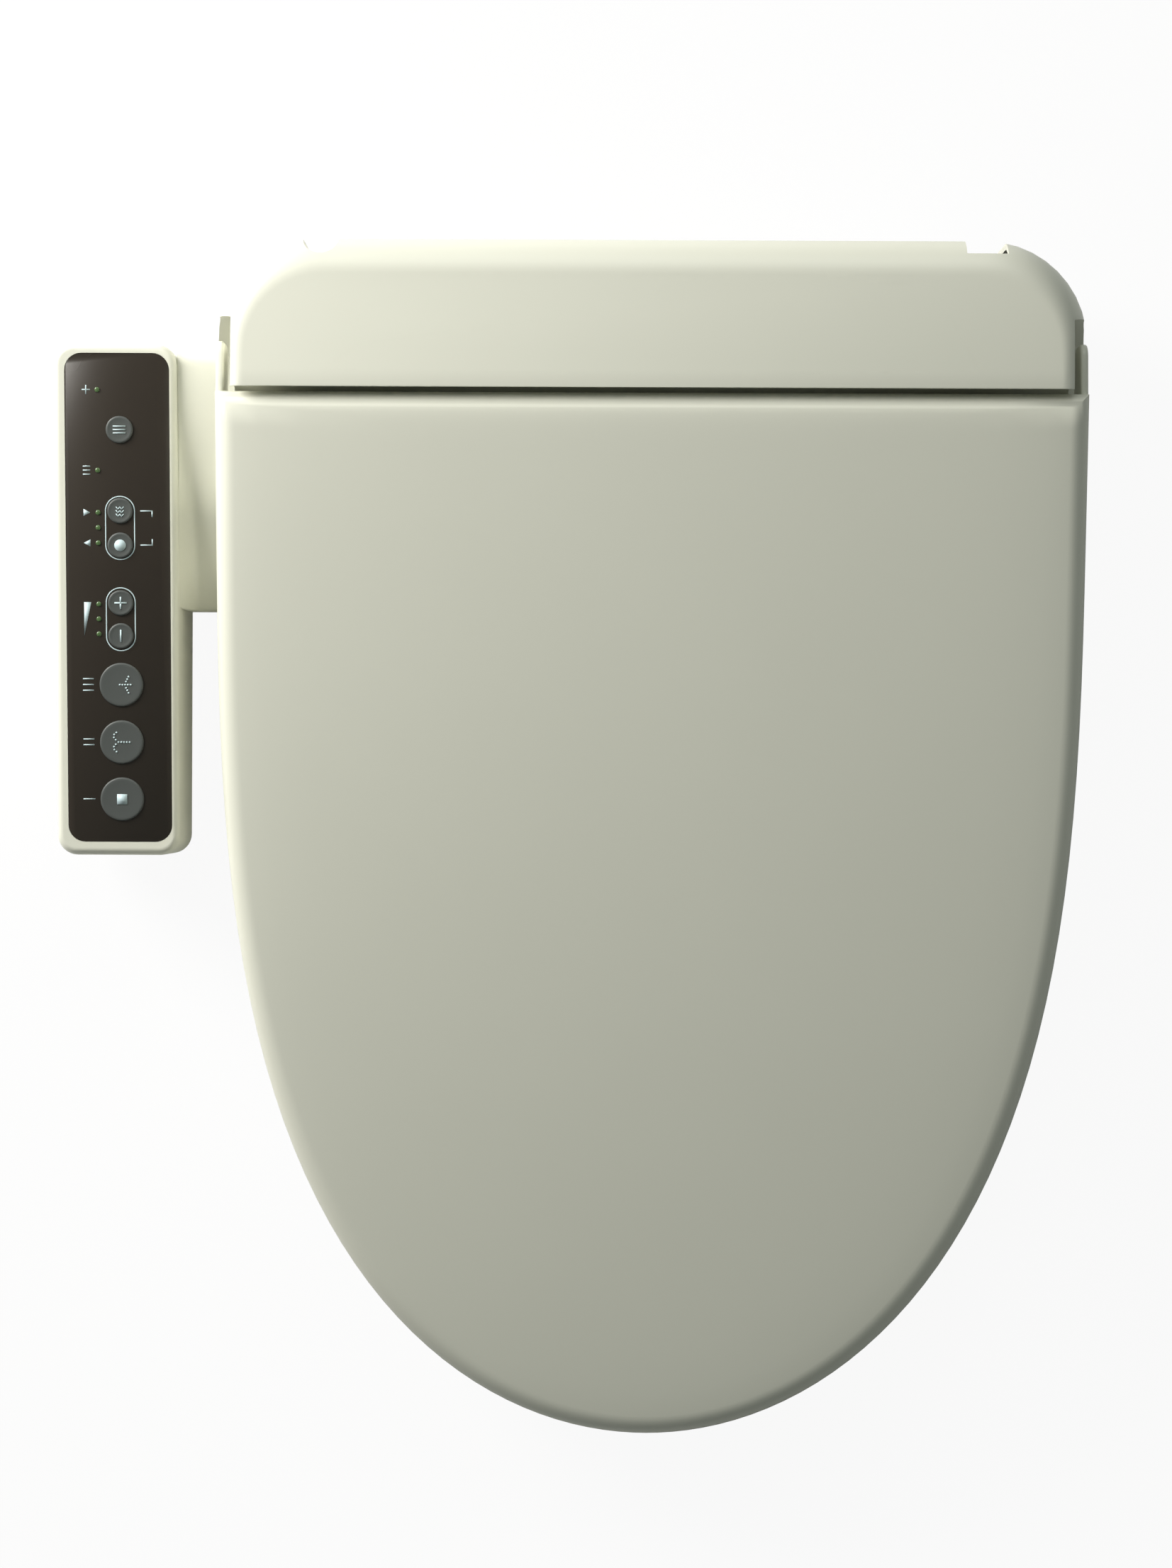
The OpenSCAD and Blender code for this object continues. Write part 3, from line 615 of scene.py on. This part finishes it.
def wave(x, y, size=1.6):
    return [
        stroke(x + size * (i - 2) / 2, y + 0.5 * (-1) ** i, x + size * (i - 1) / 2, y - 0.5 * (-1) ** i, 0.4)
        for i in range(4)
    ]


marks = {
    "clean": [stroke(-2.6, -1.5, 2.6, -1.5), stroke(-2.6, 0, 2.6, 0), stroke(-2.6, 1.5, 2.6, 1.5)],
    "water_temp": wave(0, 1.2) + wave(0, -0.4) + wave(0, -2.0),
    "seat_temp": [circle_points(2.6, 32), ],
    "pressure_up": plus(2.4),
    "pressure_down": [stroke(0, -2.4, 0, 2.4, 0.7)],
    "front_wash": [dot(4.2 - 1.2 * i, 0) for i in range(5)]
    + [dot(2.2 + 0.55 * i, s * (1.4 + 1.1 * i)) for s in (-1, 1) for i in range(3)],
    "rear_wash": [dot(-1.4 + 1.25 * i, 0) for i in range(5)]
    + [dot(-2.6, s * 1.0) for s in (-1, 1)] + [dot(-3.4, s * 2.1) for s in (-1, 1)]
    + [dot(-3.3, s * 3.4) for s in (-1, 1)] + [dot(-2.3, s * 4.3) for s in (-1, 1)],
    "stop": [[(-2.3, -2.3), (2.3, -2.3), (2.3, 2.3), (-2.3, 2.3)]],
}
for key, shapes in marks.items():
    ink(f"key_{key}_mark", shapes, column_x, keys[key][0], 0.9, f"key_{key}")


def ring_strip(outer, inner):
    return [[outer[i], outer[(i + 1) % len(outer)], inner[(i + 1) % len(inner)], inner[i]] for i in range(len(outer))]


def capsule(w, h):
    return slot_ring(-w / 2, w / 2, -h / 2, h / 2, w / 2 - 0.001, 16)


for name, mid in (("temperature_frame", (-59.1 - 74.4) / 2), ("pressure_frame", (-100 - 114.7) / 2)):
    ink(name, ring_strip(capsule(13.4, 28.6), capsule(12.4, 27.6)), column_x, mid, -0.05, "housing")
ticks = [
    stroke(9.3, 7.6, 14.3, 7.6), stroke(14.3, 5.2, 14.3, 7.4),
    stroke(9.3, -7.6, 14.3, -7.6), stroke(14.3, -7.4, 14.3, -5.2),
]
ink("temperature_ticks", ticks, column_x, (-59.1 - 74.4) / 2, -0.05, "housing")
light_places = [-5.6, -41.2, -59.9, -66.6, -73.4, -100.6, -107.2, -113.9]
signs = {
    "check": (-5.6, [stroke(0, -1.8, 0, 1.8), stroke(-1.6, 0, 1.6, 0)]),
    "saving": (-41.2, [stroke(-1.4, -1.8, 1.4, -1.8), stroke(-1.4, 0, 1.4, 0), stroke(-1.4, 1.8, 1.4, 1.8)]),
    "high": (-59.9, [[(-1.5, -1.6), (1.5, 0), (-1.5, 1.6)]]),
    "low": (-73.4, [[(1.5, -1.6), (1.5, 1.6), (-1.5, 0)]]),
    "level": (-107.2, [[(-1.6, 7.5), (-1.6, -7.5), (1.6, 7.5)]]),
    "front": (-136.5, [stroke(-2.2, s * 2.6, 2.2, s * 2.6) for s in (-1, 0, 1)]),
    "rear": (-162.2, [stroke(-2.2, s * 2.6, 2.2, s * 2.6) for s in (-0.5, 0.5)]),
    "stop": (-187.8, [stroke(-2.4, 0, 2.4, 0)]),
}
for name, (y, shapes) in signs.items():
    ink(f"sign_{name}", shapes, -251.2, y, -0.05, "housing")

# The eight lights are short clear rods, tinted a dull green, with a domed end in the film.
lens_green = moulded("lens_green", (0.09, 0.16, 0.06), roughness=0.12, cloud=0.05, grain=0.0, coat=0.6)
for index, y in enumerate(light_places):
    profile = [(1.15, -9), (1.15, 0.05), (1.0, 0.3), (0.7, 0.42), (0.3, 0.48)]
    rings = [face_points(circle_points(r, 24), -246.2, y, up) for r, up in profile]
    light = piece(f"light_{index + 1}", *loft(rings), lens_green, "housing")
    if index == 0:
        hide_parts("indicator_lights")

# The heated seat is a hollow ring, moulded in an upper and a lower shell, with rounded rims inside and
# out. Its rear bridge is arched over the nozzle, and two arms reach back to the hinge pins.
seat_drop = 24
seat_inset = 4
seat_rear = 62
opening_half = 98
opening_front = -382
opening_rear = -122


def seat_height(y):
    return lid_height(y) - seat_drop


def resampled(outline, count):
    """Evenly spaced points round a closed outline, from its first point on."""
    points = [Vector(p) for p in outline]
    lengths = [0.0]
    for a, b in zip(points, points[1:] + points[:1]):
        lengths.append(lengths[-1] + (b - a).length)
    result = []
    k = 0
    for i in range(count):
        want = lengths[-1] * i / count
        while lengths[k + 1] < want:
            k += 1
        a, b = points[k], points[(k + 1) % len(points)]
        result.append(tuple(a.lerp(b, (want - lengths[k]) / max(lengths[k + 1] - lengths[k], 1e-9))))
    return result


def ring_by_angle(outline, count):
    """Points of an outline at even angles round the opening's middle."""
    mid_y = -252
    dense = resampled(outline, 1200)
    angles = [atan2(y - mid_y, x) for x, y in dense]
    result = []
    for i in range(count):
        want = -pi / 2 + 2 * pi * i / count
        best = min(range(len(dense)), key=lambda k: abs((angles[k] - want + pi) % (2 * pi) - pi))
        result.append(dense[best])
    return result


def opening_outline(grow):
    w = opening_half + grow
    front = opening_front - grow
    rear = opening_rear + grow
    mid = -272
    points = []
    for i in range(40):
        a = pi * i / 40
        points.append((w * abs(cos(a)) ** 0.8 * (1 if cos(a) > 0 else -1), mid - (mid - front) * sin(a) ** 0.9))
    for i in range(40):
        a = pi * i / 40
        points.append((-w * abs(cos(a)) ** 0.62 * (1 if cos(a) > 0 else -1), mid + (rear - mid) * sin(a) ** 0.62))
    return points


count = 200
rows = []
for inset, drop in [(0, None), (0, 14)] + [
    (13 * (1 - cos(a)), 14 - 13.4 * sin(a)) for a in [pi / 16 * k for k in range(1, 9)]
]:
    ring = ring_by_angle(nose(lid_half, lid_reach, seat_rear, seat_inset + inset), count)
    rows.append([(x, y, 9 if drop is None else seat_height(y) - drop) for x, y in ring])
inner = []
for grow, drop in [
    (11 * (1 - cos(a)), 12 - 11.5 * sin(a)) for a in [pi / 16 * k for k in range(8, 0, -1)]
] + [(0, 12), (0, None)]:
    ring = ring_by_angle(opening_outline(grow), count)
    inner.append([(x, y, 9 if drop is None else seat_height(y) - drop) for x, y in ring])
middle = []
for f in (0.25, 0.5, 0.75):
    ring = []
    for (x0, y0, z0), (x1, y1, z1) in zip(rows[-1], inner[0]):
        ring.append((x0 + (x1 - x0) * f, y0 + (y1 - y0) * f, z0 + (z1 - z0) * f + 0.5 * sin(pi * f)))
    middle.append(ring)
rings = rows + middle + inner
verts, faces = loft(rings, closed_ends=False)
last = (len(rings) - 1) * count
for i in range(count):
    j = (i + 1) % count
    faces.append((last + i, last + j, j, i))
seat = piece("seat_ring", verts, faces, ivory, None)
cut(seat, block("arch_tool", (-46, -152, -5), (46, -50, 72)))
seat.data.shade_smooth()
seat.data.set_sharp_from_angle(angle=radians(50))
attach(seat, "seat")
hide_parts("seat_top", "seat_bottom")
for side, label in ((-1, "panel_side"), (1, "free_side")):
    ends = sorted((side * 161, side * 176))
    outline = arc(hinge_y, hinge_z, 5.5, -60, 110, 16) + [(-72, seat_height(-84) + 9), (-84, seat_height(-84) + 6)]
    outline += [(-88, seat_height(-88) - 1), (-66, seat_height(-84) - 3)]
    arm = extruded(f"seat_arm_{label}", outline, *ends, ivory, "seat", 1.2)

# Everything else is the working inside and underside: each keeps its true shape and takes the finish of
# what it is made of.
finishes = {
    "white_moulding": moulded("white_moulding", (0.78, 0.78, 0.74), roughness=0.42, cloud=0.02, grain=0.06),
    "button_grey": key_grey,
    "circuit_board": moulded(
        "solder_mask", (0.02, 0.16, 0.07), roughness=0.3, cloud=0.18, grain=0.3, grain_scale=700, coat=0.3
    ),
    "grey_plastic": moulded(
        "filled_plastic", (0.16, 0.17, 0.18), roughness=0.55, cloud=0.1, grain=0.15, grain_scale=1500
    ),
    "rubber": moulded("pale_rubber", (0.66, 0.66, 0.62), roughness=0.7, cloud=0.05, grain=0.1),
    "dark_rubber": moulded("dark_rubber", (0.03, 0.03, 0.03), roughness=0.65, cloud=0.1, grain=0.1),
    "hose": moulded("silicone_hose", (0.62, 0.64, 0.6), roughness=0.3, cloud=0.05, grain=0.02, coat=0.4),
    "steel": moulded(
        "ground_steel", (0.56, 0.56, 0.57), roughness=0.28, cloud=0.06, grain=0.25, grain_scale=900, metallic=1.0
    ),
    "heater_foil": moulded(
        "heater_foil", (0.72, 0.72, 0.73), roughness=0.35, cloud=0.12, grain=0.5, grain_scale=300, metallic=1.0
    ),
    "brass": moulded("machined_brass", (0.62, 0.46, 0.2), roughness=0.3, cloud=0.05, grain=0.15, metallic=1.0),
    "ivory_shell": ivory,
    "film": film_paint,
    "light_pipe": lens_green,
}
for part in frame["record"]["subparts"]:
    node = frame["nodes"][part["node"]]
    finish = finishes[part["material_slot"]]
    if not node.material_slots:
        node.data.materials.append(finish)
    for slot in node.material_slots:
        slot.material = finish
